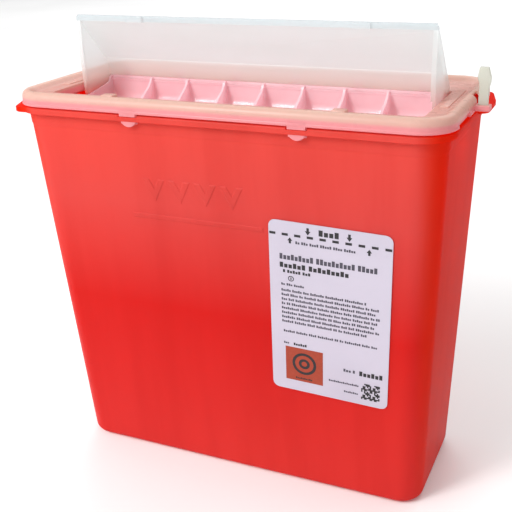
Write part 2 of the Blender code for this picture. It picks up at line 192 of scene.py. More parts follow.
# Lock tab's guide, and label
GUIDE_START = 127.2
GUIDE_END = 136.4
GUIDE_LOW = 234.1
GUIDE_TOP = 237.2
GUIDE_HALF = 3.4
GUIDE_SLOT_IN = 129.5
GUIDE_SLOT_OUT = 135.4
GUIDE_SLOT_HALF = 1.7
LABEL_LEFT = 29.2
LABEL_TOP = 178.8
LABEL_WIDTH = 70.0
LABEL_HEIGHT = 110.0
LABEL_TILT = math.radians(-1.7)
FRONT_SLOPE = math.atan((TOP_HALF_DEPTH - BASE_FRONT) / WALL_TOP)

# Crease angles in degrees above which an edge is shaded sharp
NEW_SHARP = 35
CUT_SHARP = 20
MOULDED_SHARP = 50
# Corners closer than this, in millimetres, are one corner
SAME_PLACE = 0.002


# ---------------------------------------------------------------- mesh helpers

def lerp(low, high, t):
    """Value a share t of the way from low to high."""
    return low + (high - low) * t


def rounded_ring(half_x, front, back, radius, z):
    """Closed ring of points around a rounded rectangle, anticlockwise from above."""
    centres = (
        (half_x - radius, back - radius, 0.0),
        (-half_x + radius, back - radius, 90.0),
        (-half_x + radius, front + radius, 180.0),
        (half_x - radius, front + radius, 270.0),
    )
    ring = []
    for x, y, start in centres:
        for step in range(CORNER_STEPS + 1):
            angle = math.radians(start + 90.0 * step / CORNER_STEPS)
            ring.append((x + radius * math.cos(angle), y + radius * math.sin(angle), z))
    return ring


def wall_ring(z, offset=0.0):
    """The tub's tapered outline at height z, moved outwards by offset."""
    t = z / WALL_TOP
    half_x = lerp(BASE_HALF_WIDTH, TOP_HALF_WIDTH, t) + offset
    front = -lerp(BASE_FRONT, TOP_HALF_DEPTH, t) - offset
    back = lerp(BASE_BACK, TOP_HALF_DEPTH, t) + offset
    radius = max(lerp(BASE_RADIUS, TOP_RADIUS, t) + offset, 2.0)
    return rounded_ring(half_x, front, back, radius, z)


def rim_ring(z, offset):
    """The rim's outline, moved outwards by offset, at any height."""
    return rounded_ring(
        TOP_HALF_WIDTH + offset,
        -TOP_HALF_DEPTH - offset,
        TOP_HALF_DEPTH + offset,
        TOP_RADIUS + offset,
        z,
    )


def mouth_ring(z, offset):
    """The lid mouth's outline, moved outwards by offset, at height z."""
    return rounded_ring(
        MOUTH_HALF + offset, MOUTH_FRONT - offset, MOUTH_BACK + offset, MOUTH_RADIUS + offset, z
    )


def front_wall_y(z):
    """Depth of the front wall's outside at height z."""
    return -lerp(BASE_FRONT, TOP_HALF_DEPTH, z / WALL_TOP)


def add_loft(bm, rings, close=False):
    """Skin consecutive rings; an open loft gets an end cap on its first and last ring."""
    loops = [[bm.verts.new(Vector(point) * MM) for point in ring] for ring in rings]
    pairs = list(zip(loops, loops[1:]))
    if close:
        pairs.append((loops[-1], loops[0]))
    else:
        bm.faces.new(loops[0])
        bm.faces.new(loops[-1])
    for low, high in pairs:
        for i in range(len(low)):
            j = (i + 1) % len(low)
            bm.faces.new((low[i], low[j], high[j], high[i]))


def prism_along_x(bm, outline, low, high):
    """Solid between x = low and x = high with the given (y, z) outline."""
    add_loft(bm, [[(low, y, z) for y, z in outline], [(high, y, z) for y, z in outline]])


def box(bm, low, high):
    """Plain block between two opposite corners."""
    outline = ((low[0], low[1]), (high[0], low[1]), (high[0], high[1]), (low[0], high[1]))
    add_loft(bm, [[(x, y, z) for x, y in outline] for z in (low[2], high[2])])


def circle(centre, radius, steps, start=0.0, sweep=360.0):
    """Points on an arc; a full circle leaves its last point to the first."""
    last = steps if sweep >= 360.0 else steps - 1
    points = []
    for step in range(steps):
        angle = math.radians(start + sweep * step / last)
        points.append((centre[0] + radius * math.cos(angle), centre[1] + radius * math.sin(angle)))
    return points


def rounded_outline(corners, radius, steps=6):
    """Round the corners of an outline of (x, y) points; radius is one number or one for each corner."""
    points = []
    count = len(corners)
    radii = [radius] * count if isinstance(radius, (int, float)) else radius
    for i, corner in enumerate(corners):
        if radii[i] == 0:
            points.append(tuple(corner))
            continue
        here = Vector(corner)
        back = (Vector(corners[i - 1]) - here).normalized()
        ahead = (Vector(corners[(i + 1) % count]) - here).normalized()
        half_angle = back.angle(ahead) / 2
        reach = radii[i] / math.tan(half_angle)
        centre = here + (back + ahead).normalized() * (radii[i] / math.sin(half_angle))
        first = here + back * reach - centre
        last = here + ahead * reach - centre
        turn = first.angle_signed(last)
        for step in range(steps + 1):
            angle = -turn * step / steps
            points.append((
                centre.x + first.x * math.cos(angle) - first.y * math.sin(angle),
                centre.y + first.x * math.sin(angle) + first.y * math.cos(angle),
            ))
    return points


def mirrored_y(outline):
    """An outline of (y, z) points mirrored to the other side of the XZ plane."""
    return [(-y, z) for y, z in outline]


def new_piece(name, bm, look=None, sharp=NEW_SHARP):
    """Turn a bmesh into a smooth-shaded object."""
    bmesh.ops.recalc_face_normals(bm, faces=bm.faces[:])
    mesh = bpy.data.meshes.new(name)
    bm.to_mesh(mesh)
    bm.free()
    piece = bpy.data.objects.new(name, mesh)
    bpy.context.scene.collection.objects.link(piece)
    if look:
        mesh.materials.append(look)
    mesh.shade_smooth()
    mesh.set_sharp_from_angle(angle=math.radians(sharp))
    return piece


def bake_modifiers(piece):
    """Replace the object's mesh by its evaluated one, and remove the modifiers."""
    graph = bpy.context.evaluated_depsgraph_get()
    mesh = bpy.data.meshes.new_from_object(piece.evaluated_get(graph))
    piece.modifiers.clear()
    piece.data = mesh
    mesh.shade_smooth()


def combine(piece, steps):
    """Apply Boolean steps, each an operation and a bmesh of shapes, and clear away their slivers."""
    for operation, bm in steps:
        guide = new_piece("guide", bm)
        modifier = piece.modifiers.new("step", "BOOLEAN")
        modifier.operation = operation
        modifier.solver = "EXACT"
        modifier.object = guide
        bake_modifiers(piece)
        bpy.data.objects.remove(guide)
    clean = bmesh.new()
    clean.from_mesh(piece.data)
    bmesh.ops.remove_doubles(clean, verts=clean.verts[:], dist=SAME_PLACE * MM)
    bmesh.ops.dissolve_degenerate(clean, edges=clean.edges[:], dist=SAME_PLACE * MM)
    clean.to_mesh(piece.data)
    clean.free()
    piece.data.set_sharp_from_angle(angle=math.radians(CUT_SHARP))


def place(piece, body, slot, *nodes):
    """Let the piece ride on a body and stand for the named CAD nodes; the slot is not used."""
    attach(piece, body)
    if nodes:
        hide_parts(*nodes)


# ---------------------------------------------------------------- materials

# The middle of a noise texture's range, which most of its values lie in
NOISE_LOW = 0.3
NOISE_HIGH = 0.7
NOISE_ROUGHNESS = 0.55


class Look:
    """A new node material, with short calls for the nodes it needs."""

    def __init__(self, name):
        self.material = bpy.data.materials.new(name)
        self.material.use_nodes = True
        self.tree = self.material.node_tree
        self.tree.nodes.clear()
        self.output = self.tree.nodes.new("ShaderNodeOutputMaterial")
        self.place = self.tree.nodes.new("ShaderNodeTexCoord").outputs["Object"]

    def link(self, source, socket):
        """Give a socket a number, a colour or another node's output."""
        if isinstance(source, (int, float)):
            socket.default_value = source
        elif isinstance(source, tuple):
            socket.default_value = (*source, 1.0)
        else:
            self.tree.links.new(source, socket)

    def node(self, kind, **settings):
        made = self.tree.nodes.new("ShaderNode" + kind)
        for key, value in settings.items():
            setattr(made, key, value)
        return made

    def noise(self, scale, detail=4.0, stretch=(1.0, 1.0, 1.0)):
        mapping = self.node("Mapping")
        mapping.inputs["Scale"].default_value = stretch
        self.link(self.place, mapping.inputs["Vector"])
        noise = self.node("TexNoise")
        self.link(mapping.outputs["Vector"], noise.inputs["Vector"])
        noise.inputs["Scale"].default_value = scale
        noise.inputs["Detail"].default_value = detail
        noise.inputs["Roughness"].default_value = NOISE_ROUGHNESS
        return noise.outputs["Fac"]

    def vary(self, noise, low, high):
        """Value between low and high that follows a noise."""
        return self.spread(noise, NOISE_LOW, NOISE_HIGH, low, high)

    def axis(self, name):
        """Position along one axis, in metres."""
        split = self.node("SeparateXYZ")
        self.link(self.place, split.inputs["Vector"])
        return split.outputs[name]

    def spread(self, value, low, high, out_low=0.0, out_high=1.0, smooth=True):
        """Map value from low..high to out_low..out_high, clamped."""
        made = self.node("MapRange", interpolation_type="SMOOTHSTEP" if smooth else "LINEAR")
        for socket, given in zip(("Value", "From Min", "From Max", "To Min", "To Max"),
                                 (value, low, high, out_low, out_high)):
            self.link(given, made.inputs[socket])
        return made.outputs["Result"]

    def maths(self, operation, first, second=0.0):
        made = self.node("Math", operation=operation)
        self.link(first, made.inputs[0])
        self.link(second, made.inputs[1])
        return made.outputs["Value"]

    def mix(self, factor, first, second):
        made = self.node("Mix", data_type="RGBA")
        self.link(factor, made.inputs["Factor"])
        self.link(first, made.inputs["A"])
        self.link(second, made.inputs["B"])
        return made.outputs["Result"]

    def ramp(self, value, *stops):
        """Colour ramp with stops of (position, colour)."""
        made = self.node("ValToRGB")
        elements = made.color_ramp.elements
        while len(elements) < len(stops):
            elements.new(0.5)
        for element, (position, colour) in zip(elements, stops):
            element.position = position
            element.color = (*colour, 1.0)
        self.link(value, made.inputs["Fac"])
        return made.outputs["Color"]

    def bump(self, height, distance, strength):
        made = self.node("Bump")
        made.inputs["Distance"].default_value = distance
        made.inputs["Strength"].default_value = strength
        self.link(height, made.inputs["Height"])
        return made.outputs["Normal"]

    def plastic(self, colour, roughness, normal=None, ior=1.49):
        made = self.node("BsdfPrincipled")
        self.link(colour, made.inputs["Base Color"])
        self.link(roughness, made.inputs["Roughness"])
        made.inputs["IOR"].default_value = ior
        if normal:
            self.link(normal, made.inputs["Normal"])
        return made.outputs["BSDF"]

    def glow_through(self, colour, normal=None):
        """Light that comes through the wall and scatters."""
        made = self.node("BsdfTranslucent")
        self.link(colour, made.inputs["Color"])
        if normal:
            self.link(normal, made.inputs["Normal"])
        return made.outputs["BSDF"]

    def clear(self, colour):
        """Light that comes straight through the wall."""
        made = self.node("BsdfTransparent")
        self.link(colour, made.inputs["Color"])
        return made.outputs["BSDF"]

    def blend(self, factor, first, second):
        made = self.node("MixShader")
        self.link(factor, made.inputs["Fac"])
        self.link(first, made.inputs[1])
        self.link(second, made.inputs[2])
        return made.outputs["Shader"]

    def done(self, shader):
        self.link(shader, self.output.inputs["Surface"])
        return self.material


def linear(red, green, blue):
    """Scene-linear colour from 8-bit display values."""
    return tuple(
        channel / 255 / 12.92 if channel <= 10 else ((channel / 255 + 0.055) / 1.055) ** 2.4
        for channel in (red, green, blue)
    )


def tub_red():
    """Translucent red plastic: faint upright flow streaks, slow waviness, soft gloss; painted light makes
    the wall lighter at its foot and towards its top, and painted shade makes both end walls warmer orange
    and less glossy.
    """
    look = Look("tub_red_plastic")
    streaks = look.noise(60.0, 3.0, (1.0, 1.0, 0.05))
    cloud = look.noise(9.0, 2.0)
    # Painted light: the wall colour is lighter at its foot and lighter still towards its top, where light
    # comes in through the lid; the deepest red lies between them.
    wall = look.ramp(
        look.spread(look.axis("Z"), 0.0, 0.225, smooth=False),
        (0.0, linear(236, 72, 68)),
        (0.5, linear(225, 46, 43)),
        (0.8, linear(230, 96, 90)),
        (1.0, linear(236, 98, 88)),
    )
    # Painted shade on both end walls: there the colour turns a warmer orange, and below, gloss gives way to
    # translucency.
    ends = look.spread(look.maths("ABSOLUTE", look.axis("X")), 0.111, 0.124, 0.0, 0.8)
    wall = look.mix(ends, wall, linear(255, 82, 10))
    wall = look.mix(look.spread(streaks, 0.35, 0.7, 0.0, 0.14), wall, linear(186, 22, 16))
    wall = look.mix(look.spread(cloud, 0.4, 0.75, 0.0, 0.12), wall, linear(250, 92, 74))
    ripple = look.maths("ADD", look.maths("MULTIPLY", streaks, 0.3), look.maths("MULTIPLY", cloud, 0.7))
    normal = look.bump(ripple, 0.0012, 0.2)
    skin = look.plastic(wall, look.vary(look.noise(150.0, 2.0), 0.16, 0.24), normal, ior=1.15)
    glow = look.glow_through(look.mix(0.3, wall, linear(255, 60, 46)), normal)
    # More translucency and less gloss on the end walls: part of their painted shade.
    glow_share = look.maths("ADD", look.maths("MULTIPLY", ends, 0.4), 0.5)
    body = look.blend(glow_share, skin, glow)
    return look.done(look.blend(0.12, body, look.clear(linear(250, 60, 50))))


def lid_natural():
    """The lid's natural plastic: creamy on its crown, pink where the red rim shows through."""
    look = Look("lid_natural_plastic")
    cloud = look.noise(30.0, 3.0)
    colour = look.ramp(
        look.spread(look.axis("Z"), SKIRT_LOW * MM, CREST_Z * MM, smooth=False),
        (0.0, linear(246, 172, 178)),
        (0.38, linear(244, 174, 180)),
        (0.55, linear(234, 200, 188)),
        (1.0, linear(236, 211, 196)),
    )
    colour = look.mix(look.spread(cloud, 0.35, 0.75, 0.0, 0.12), colour, linear(230, 184, 168))
    rough = look.vary(look.noise(120.0, 2.0), 0.26, 0.31)
    skin = look.plastic(colour, rough, look.bump(cloud, 0.0002, 0.06), ior=1.4)
    body = look.blend(0.45, skin, look.glow_through(colour))
    return look.done(look.blend(0.14, body, look.clear(linear(250, 226, 214))))


def frosted(name, tint, shade, clear_share, glow_share, roughness, stretch=(1.0, 1.0, 1.0), painted_glow_and_tint_bands=()):
    """Natural polypropylene: milky, slightly cloudy and see-through, with a slow waviness from the mould.

    Each tint band is the height where it starts, the height where it is full, its strength and its colour;
    the flap's band at its foot is painted light.
    """
    look = Look(name)
    colour = look.mix(look.spread(look.noise(30.0, 4.0, stretch), 0.3, 0.75), tint, shade)
    # Colour bands by height; the flap's warm band at its foot is painted light from the red tub.
    for start, full, strength, band_colour in painted_glow_and_tint_bands:
        reach = look.spread(look.axis("Z"), start * MM, full * MM, 0.0, strength)
        colour = look.mix(reach, colour, band_colour)
    normal = look.bump(look.noise(40.0, 1.0, stretch), 0.0003, 0.1)
    rough = look.vary(look.noise(120.0, 2.0), roughness - 0.02, roughness + 0.03)
    body = look.blend(glow_share, look.plastic(colour, rough, normal), look.glow_through(colour))
    through = look.vary(look.noise(18.0, 2.0, stretch), clear_share - 0.015, clear_share + 0.015)
    return look.done(look.blend(through, body, look.clear(tint)))


def label_film():
    """Printed film: pale lilac, with a fine tooth."""
    look = Look("label_film")
    fibre = look.noise(300.0, 3.0)
    cloud = look.vary(look.noise(12.0, 2.0), 0.0, 1.0)
    colour = look.mix(cloud, linear(186, 179, 193), linear(178, 171, 185))
    return look.done(look.plastic(colour, look.vary(fibre, 0.38, 0.5), look.bump(fibre, 0.00005, 0.2)))


def give(piece, look):
    """Make the look the piece's only material."""
    piece.data.materials.clear()
    piece.data.materials.append(look)


RED = tub_red()
LID = lid_natural()
# The flap's foot is warmer with a painted glow of red light from the tub below; the flap is greyer and
# cooler over its thick pull lip
FLAP_PAINTED_GLOW_AND_LIP_TINT = (
    (255.0, 232.0, 0.75, linear(238, 200, 186)),
    (FLAP_TOP - 3.6, FLAP_TOP - 3.0, 0.7, linear(198, 210, 216)),
)
FLAP = frosted(
    "flap_natural_plastic", linear(245, 248, 248), linear(241, 245, 244), 0.5, 0.4, 0.22,
    stretch=(0.4, 1.0, 1.6), painted_glow_and_tint_bands=FLAP_PAINTED_GLOW_AND_LIP_TINT,
)
# The tray's pink tint is painted light: the red glow of the tub around it, laid on natural plastic.
TRAY = frosted("tray_natural_plastic_painted_red_glow", linear(255, 236, 240), linear(250, 222, 228), 0.2, 0.45, 0.12)
TAB = frosted("tab_white_plastic", linear(228, 229, 221), linear(216, 219, 208), 0.3, 0.4, 0.22)
LABEL = label_film()


# ---------------------------------------------------------------- moulded pieces

# Faces within the first angle in degrees are one flat face, and edges over the second are rounded
FLAT_ANGLE = 0.4
EDGE_ANGLE = 25
EDGE_RADIUS = 0.3
EDGE_SEGMENTS = 3


def moulded(node, body, slot, look):
    """A CAD node's shape again, its flat faces whole and its edges rounded as a mould leaves them."""
    bm = bmesh.new()
    bm.from_mesh(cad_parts[node].data)
    bmesh.ops.remove_doubles(bm, verts=bm.verts[:], dist=SAME_PLACE * MM)
    bmesh.ops.dissolve_limit(bm, angle_limit=math.radians(FLAT_ANGLE), verts=bm.verts[:], edges=bm.edges[:])
    sharp = [
        edge for edge in bm.edges
        if edge.is_manifold and edge.calc_face_angle(0.0) > math.radians(EDGE_ANGLE)
    ]
    bmesh.ops.bevel(
        bm, geom=sharp, offset=EDGE_RADIUS * MM, offset_type="OFFSET", segments=EDGE_SEGMENTS,
        profile=0.5, affect="EDGES", clamp_overlap=True, harden_normals=False,
    )
    place(new_piece(node + "_moulded", bm, look, sharp=MOULDED_SHARP), body, slot, node)


# Least cosine of half a corner's turn, so that a sharp corner's mitre stays short
MITRE_LIMIT = 0.35


def offset_outline(outline, distance):
    """Move an outline's edges outwards by distance, or inwards if it is negative."""
    corners = [Vector(point) for point in outline]
    area = sum(a.x * b.y - a.y * b.x for a, b in zip(corners, corners[1:] + corners[:1]))
    outward = 1.0 if area > 0 else -1.0
    moved = []
    for i, here in enumerate(corners):
        before = (here - corners[i - 1]).normalized()
        after = (corners[(i + 1) % len(corners)] - here).normalized()
        side = Vector((before.y, -before.x))
        middle = (side + Vector((after.y, -after.x))).normalized()
        step = distance * outward / max(middle.dot(side), MITRE_LIMIT)
        moved.append((here.x + middle.x * step, here.y + middle.y * step))
    return moved


def tub_section():
    """Rings round the tub's section: base fillet, wall, step, flange, upright bead and inside wall."""
    rings = [wall_ring(0.0, -BASE_FILLET)]
    for step in range(1, FILLET_STEPS + 1):
        angle = math.radians(90.0 * step / FILLET_STEPS)
        rings.append(wall_ring(BASE_FILLET * (1 - math.cos(angle)), -BASE_FILLET * (1 - math.sin(angle))))
    rings += [
        wall_ring(STEP_Z - 0.4),
        wall_ring(STEP_Z, 0.04),
        wall_ring(STEP_Z + 0.6, STEP_OUT - 0.04),
        wall_ring(STEP_Z + 1.0, STEP_OUT),
        rim_ring(LEDGE_UNDER - 0.5, STEP_OUT),
        rim_ring(LEDGE_UNDER - 0.15, STEP_OUT + 0.15),
        rim_ring(LEDGE_UNDER, STEP_OUT + 0.5),
        rim_ring(LEDGE_UNDER, LIP_IN),
        rim_ring(LIP_LOW + 0.3, LIP_IN),
        rim_ring(LIP_LOW, LIP_IN + 0.3),
        rim_ring(LIP_LOW, LIP_OUT - 0.4),
        rim_ring(LIP_LOW + 0.12, LIP_OUT - 0.12),
        rim_ring(LIP_LOW + 0.4, LIP_OUT),
        rim_ring(LEDGE_TOP - 0.6, LIP_OUT),
        rim_ring(LEDGE_TOP - 0.17, LIP_OUT - 0.17),
        rim_ring(LEDGE_TOP, LIP_OUT - 0.6),
        rim_ring(LEDGE_TOP, STEP_OUT + 0.4),
        rim_ring(LEDGE_TOP + 0.4, STEP_OUT),
        rim_ring(RIM_TOP - 0.8, STEP_OUT),
        rim_ring(RIM_TOP - 0.2, 0.1),
        rim_ring(RIM_TOP, -0.4),
        rim_ring(RIM_TOP, -WALL + 0.3),
        rim_ring(RIM_TOP - 0.3, -WALL),
        rim_ring(LEDGE_TOP, -WALL),
        wall_ring(STEP_Z, -WALL),
    ]
    inner = BASE_FILLET - WALL
    for step in range(FILLET_STEPS + 1):
        angle = math.radians(90.0 * step / FILLET_STEPS)
        rings.append(wall_ring(
            WALL + inner * (1 - math.sin(angle)), -WALL - inner * (1 - math.cos(angle))
        ))
    return rings


def raised_mark(bm, outline):
    """A low raised mark with sloping sides on the front wall, given by its (x, z) outline."""
    rings = []
    for proud, spread in ((MARK_ROOT, MARK_SLOPE), (0.0, MARK_SLOPE), (MARK_PROUD, -MARK_SLOPE * 0.3)):
        rings.append([(x, front_wall_y(z) - proud, z) for x, z in offset_outline(outline, spread)])
    add_loft(bm, rings)


def wall_section(section, side):
    """Outline (y, z) of a section given out from the top's half depth; side is -1 front, 1 back."""
    outline = [(TOP_HALF_DEPTH + out, z) for out, z in section]
    return outline if side > 0 else mirrored_y(outline)


def add_lug(bm, turn, reach, taper, far):
    """Flat ear on one end of the flange, with rounded corners and softened edges."""
    corners = [
        (LUG_ROOT, LUG_NEAR), (reach, LUG_NEAR), (reach, LUG_SHOULDER), (reach - taper, far),
        (LUG_ROOT, far),
    ]
    outline = rounded_outline(corners, LUG_RADIUS, 10)
    low = LIP_LOW + 0.3
    high = LEDGE_TOP - 0.25
    rings = []
    for z, inset in ((low, 0.3), (low + 0.3, 0.0), (high - 0.3, 0.0), (high, 0.3)):
        rings.append([(turn * x, turn * y, z) for x, y in offset_outline(outline, -inset)])
    add_loft(bm, rings)


def fill_marks():
    """Raised fill line on the front wall, and the row of chevrons above it."""
    marks = bmesh.new()
    raised_mark(marks, (
        (BAR_LEFT, BAR_LOW), (BAR_RIGHT, BAR_LOW), (BAR_RIGHT, BAR_TOP), (BAR_LEFT, BAR_TOP),
    ))
    notch = CHEVRON_LOW + CHEVRON_STROKE * 2 * (CHEVRON_TOP - CHEVRON_LOW) / CHEVRON_WIDTH
    for index in range(CHEVRON_COUNT):
        left = CHEVRON_LEFT + CHEVRON_PITCH * index
        middle = left + CHEVRON_WIDTH / 2
        right = left + CHEVRON_WIDTH
        raised_mark(marks, (
            (left, CHEVRON_TOP), (middle, CHEVRON_LOW), (right, CHEVRON_TOP),
            (right - CHEVRON_STROKE, CHEVRON_TOP), (middle, notch), (left + CHEVRON_STROKE, CHEVRON_TOP),
        ))
    return marks


def make_tub():
    """Red tub: shell with its flange, two lugs, four tongue slots and the fill marks."""
    bm = bmesh.new()
    add_loft(bm, tub_section())
    tub = new_piece("tub_moulded", bm, RED)

    lugs = bmesh.new()
    for turn, reach, taper, far in LUGS:
        add_lug(lugs, turn, reach, taper, far)
    slots = bmesh.new()
    for side in (-1, 1):
        for tongue in TONGUES:
            x = -side * tongue
            prism_along_x(slots, wall_section(SLOT_SECTION, side), x - SLOT_HALF, x + SLOT_HALF)
    hollow = bmesh.new()
    add_loft(hollow, [
        rim_ring(RIM_TOP + 2.0, -WALL),
        rim_ring(LEDGE_TOP, -WALL),
        wall_ring(STEP_Z, -WALL),
    ])
    combine(tub, (("UNION", lugs), ("DIFFERENCE", hollow), ("DIFFERENCE", slots)))
    place(tub, "container", "red_plastic", "tub")
    place(new_piece("fill_marks", fill_marks(), RED, sharp=CUT_SHARP), "container", "red_plastic")


def lid_section():
    """Rings round the lid's section: skirt, crown, deck, mouth, underside and plug."""
    rings = [
        rim_ring(SKIRT_LOW + SKIRT_ROUND, SKIRT_IN),
        rim_ring(SKIRT_LOW, SKIRT_IN + SKIRT_ROUND),
        rim_ring(SKIRT_LOW, SKIRT_OUT - 0.35),
        rim_ring(SKIRT_LOW + 0.35, SKIRT_OUT),
        rim_ring(SKIRT_LOW + 1.3, SKIRT_OUT - 0.05),
        rim_ring(SKIRT_LOW + 1.7, SKIRT_OUT - 0.3),
    ]
    for step in range(CROWN_STEPS + 1):
        angle = math.radians(90.0 * step / CROWN_STEPS)
        rings.append(rim_ring(
            CROWN_START + (CREST_Z - CROWN_START) * math.sin(angle),
            SKIRT_OUT - SKIRT_ROUND - CROWN_REACH * (1 - math.cos(angle)),
        ))
    for step in range(1, DECK_STEPS + 1):
        t = step / DECK_STEPS
        rings.append(rim_ring(
            CREST_Z - (CREST_Z - DECK_Z) * (3 * t * t - 2 * t ** 3),
            SKIRT_OUT - SKIRT_ROUND - CROWN_REACH - DECK_REACH * t,
        ))
    rings += [
        mouth_ring(DECK_Z, 1.0),
        mouth_ring(DECK_Z - 0.1, 0.5),
        mouth_ring(DECK_Z - 0.35, 0.12),
        mouth_ring(DECK_Z - 0.8, 0.0),
        mouth_ring(MOUTH_LIP + 0.3, 0.0),
        mouth_ring(MOUTH_LIP, 0.3),
        mouth_ring(MOUTH_LIP, DECK - 0.3),
        mouth_ring(MOUTH_LIP + 0.3, DECK),
        mouth_ring(DECK_Z - DECK, DECK),
        rim_ring(DECK_Z - DECK, PLUG_IN),
        rim_ring(PLUG_LOW + 0.4, PLUG_IN),
        rim_ring(PLUG_LOW, PLUG_IN + 0.4),
        rim_ring(PLUG_LOW, PLUG_OUT - 0.4),
        rim_ring(PLUG_LOW + 0.4, PLUG_OUT),
        rim_ring(239.6, PLUG_OUT),
        rim_ring(240.0, 0.6),
        rim_ring(238.6, SKIRT_IN),
    ]
    return rings


def rounded_box(bm, low, high, radius):
    """A block with rounded upright edges and a softened top and bottom."""
    soft = min(radius, (high[2] - low[2]) / 3)
    rings = []
    for inset, z in ((soft, low[2]), (0.3 * soft, low[2] + 0.3 * soft), (0.0, low[2] + soft),
                     (0.0, high[2] - soft), (0.3 * soft, high[2] - 0.3 * soft), (soft, high[2])):
        corners = [
            (low[0] + inset, low[1] + inset), (high[0] - inset, low[1] + inset),
            (high[0] - inset, high[1] - inset), (low[0] + inset, high[1] - inset),
        ]
        rings.append([(x, y, z) for x, y in rounded_outline(corners, radius, 3)])
    add_loft(bm, rings)


def tongue_hook(bm, x, side):
    """The half-round hook of a tongue, with a softened outer edge."""
    rings = []
    for out, shrink in ((0.86, 0.0), (2.7, 0.0), (3.0, 0.12), (3.2, 0.5)):
        tip = circle((x, HOOK_LOW + HOOK_RADIUS), HOOK_RADIUS - shrink, 21, 207.0, 126.0)
        rings.append([(u, side * (TOP_HALF_DEPTH + out), z) for u, z in tip])
    add_loft(bm, rings)


def span(side, near, far):
    """The two X places near and far from the middle on one side, in rising order."""
    return sorted((side * near, side * far))


def make_lid():
    """Natural lid: shell, hooked tongues, pin brackets, deck pads, catches and the tab's guide."""
    bm = bmesh.new()
    add_loft(bm, lid_section(), close=True)
    lid = new_piece("lid_moulded", bm, LID)

    fittings = bmesh.new()
    hooks = bmesh.new()
    cuts = bmesh.new()
    near = PIVOT_Y - BRACKET_HALF
    far = PIVOT_Y + BRACKET_HALF
    bracket = rounded_outline(
        [(near, BRACKET_TOP), (near, BRACKET_LOW), (far, BRACKET_LOW), (far, BRACKET_TOP)],
        [0, BRACKET_RADIUS, BRACKET_RADIUS, 0], 8,
    )
    for side in (-1, 1):
        for tongue in TONGUES:
            x = -side * tongue
            prism_along_x(fittings, wall_section(SHANK_SECTION, side), x - TONGUE_HALF, x + TONGUE_HALF)
            tongue_hook(hooks, x, side)
        low, high = span(side, BRACKET_IN, BRACKET_OUT)
        prism_along_x(fittings, bracket, low, high)
        low, high = span(side, PAD_IN, PAD_OUT)
        rounded_box(fittings, (low, PAD_NEAR, SUNK_Z), (high, PAD_FAR, PAD_TOP), 0.5)
        middle = side * CATCH_X
        rounded_box(
            fittings,
            (middle - CATCH_HALF, CATCH_NEAR, SUNK_Z), (middle + CATCH_HALF, CATCH_FAR, CATCH_TOP), 0.6,
        )
        low, high = span(side, BRACKET_IN - 6.0, BRACKET_OUT + 2.6)
        prism_along_x(cuts, circle((PIVOT_Y, PIVOT_Z), BORE_RADIUS, BORE_STEPS), low, high)
    rounded_box(fittings, (GUIDE_START, -GUIDE_HALF, GUIDE_LOW), (GUIDE_END, GUIDE_HALF, GUIDE_TOP), 0.6)

    # Recess in each end's skirt, the tab's slot, the notch behind its guide, and room for the tray's clips
    box(cuts, (RECESS_IN, -RECESS_FAR, CUT_LOW), (RECESS_OUT, -RECESS_NEAR, RECESS_TOP))
    box(cuts, (-RECESS_OUT, RECESS_NEAR, CUT_LOW), (-RECESS_IN, RECESS_FAR, RECESS_TOP))
    box(
        cuts,
        (GUIDE_SLOT_IN, -GUIDE_SLOT_HALF, CUT_LOW), (GUIDE_SLOT_OUT, GUIDE_SLOT_HALF, GUIDE_TOP + 1.8),
    )
    box(cuts, (NOTCH_IN, GUIDE_HALF, NOTCH_LOW), (RECESS_OUT, NOTCH_FAR, CREST_Z + 1.6))
    box(cuts, (-RELIEF_HALF, MOUTH_BACK - 1.0, CUT_LOW), (RELIEF_HALF, MOUTH_BACK + 3.0, DECK_Z - DECK))
    combine(lid, (("UNION", fittings), ("UNION", hooks), ("DIFFERENCE", cuts)))
    place(lid, "container", "natural_plastic", "lid")


def bezier(points, steps):
    """Points along a cubic curve with four control points."""
    curve = []
    for step in range(steps + 1):
        t = step / steps
        weights = ((1 - t) ** 3, 3 * t * (1 - t) ** 2, 3 * t * t * (1 - t), t ** 3)
        curve.append(tuple(sum(w * p[axis] for w, p in zip(weights, points)) for axis in (0, 1)))
    return curve


def rib_block_outline():
    """Section of the trough with its ribs still joined up, before the bays are scooped out."""
    outside = circle(
        (TRAY_BACK - SCOOP_RADIUS, TRAY_FLOOR + SCOOP_RADIUS), SCOOP_RADIUS + TRAY_WALL, 13, -90.0, 90.0
    )
    crown = [(TRAY_BACK + TRAY_WALL, 238.2), (TRAY_BACK + TRAY_WALL - 0.4, 238.6), (TRAY_BACK, 238.6)]
    return crown + bezier(RIB_CURVE, RIB_STEPS) + list(TROUGH_LIP) + outside


def bay_ring(left, right, y):
    """U-shaped section of one bay at depth y: drafted sides, rounded lower corners, open upwards."""
    reach = min(max(y - (TRAY_BACK - SCOOP_RADIUS), 0.0), SCOOP_RADIUS - 0.02)
    floor = TRAY_FLOOR + SCOOP_RADIUS - math.sqrt(SCOOP_RADIUS ** 2 - reach ** 2)
    floor += BAY_SLOPE * max(TRAY_BACK - SCOOP_RADIUS - y, 0.0)
    corner = min(BAY_CORNER, (BAY_TOP - floor) / 3)
    section = [(right + BAY_DRAFT, BAY_TOP)]
    section += circle((right - corner, floor + corner), corner, BAY_STEPS, 0.0, -90.0)
    section += circle((left + corner, floor + corner), corner, BAY_STEPS, -90.0, -90.0)
    section.append((left - BAY_DRAFT, BAY_TOP))
    return [(x, y, z) for x, z in section]


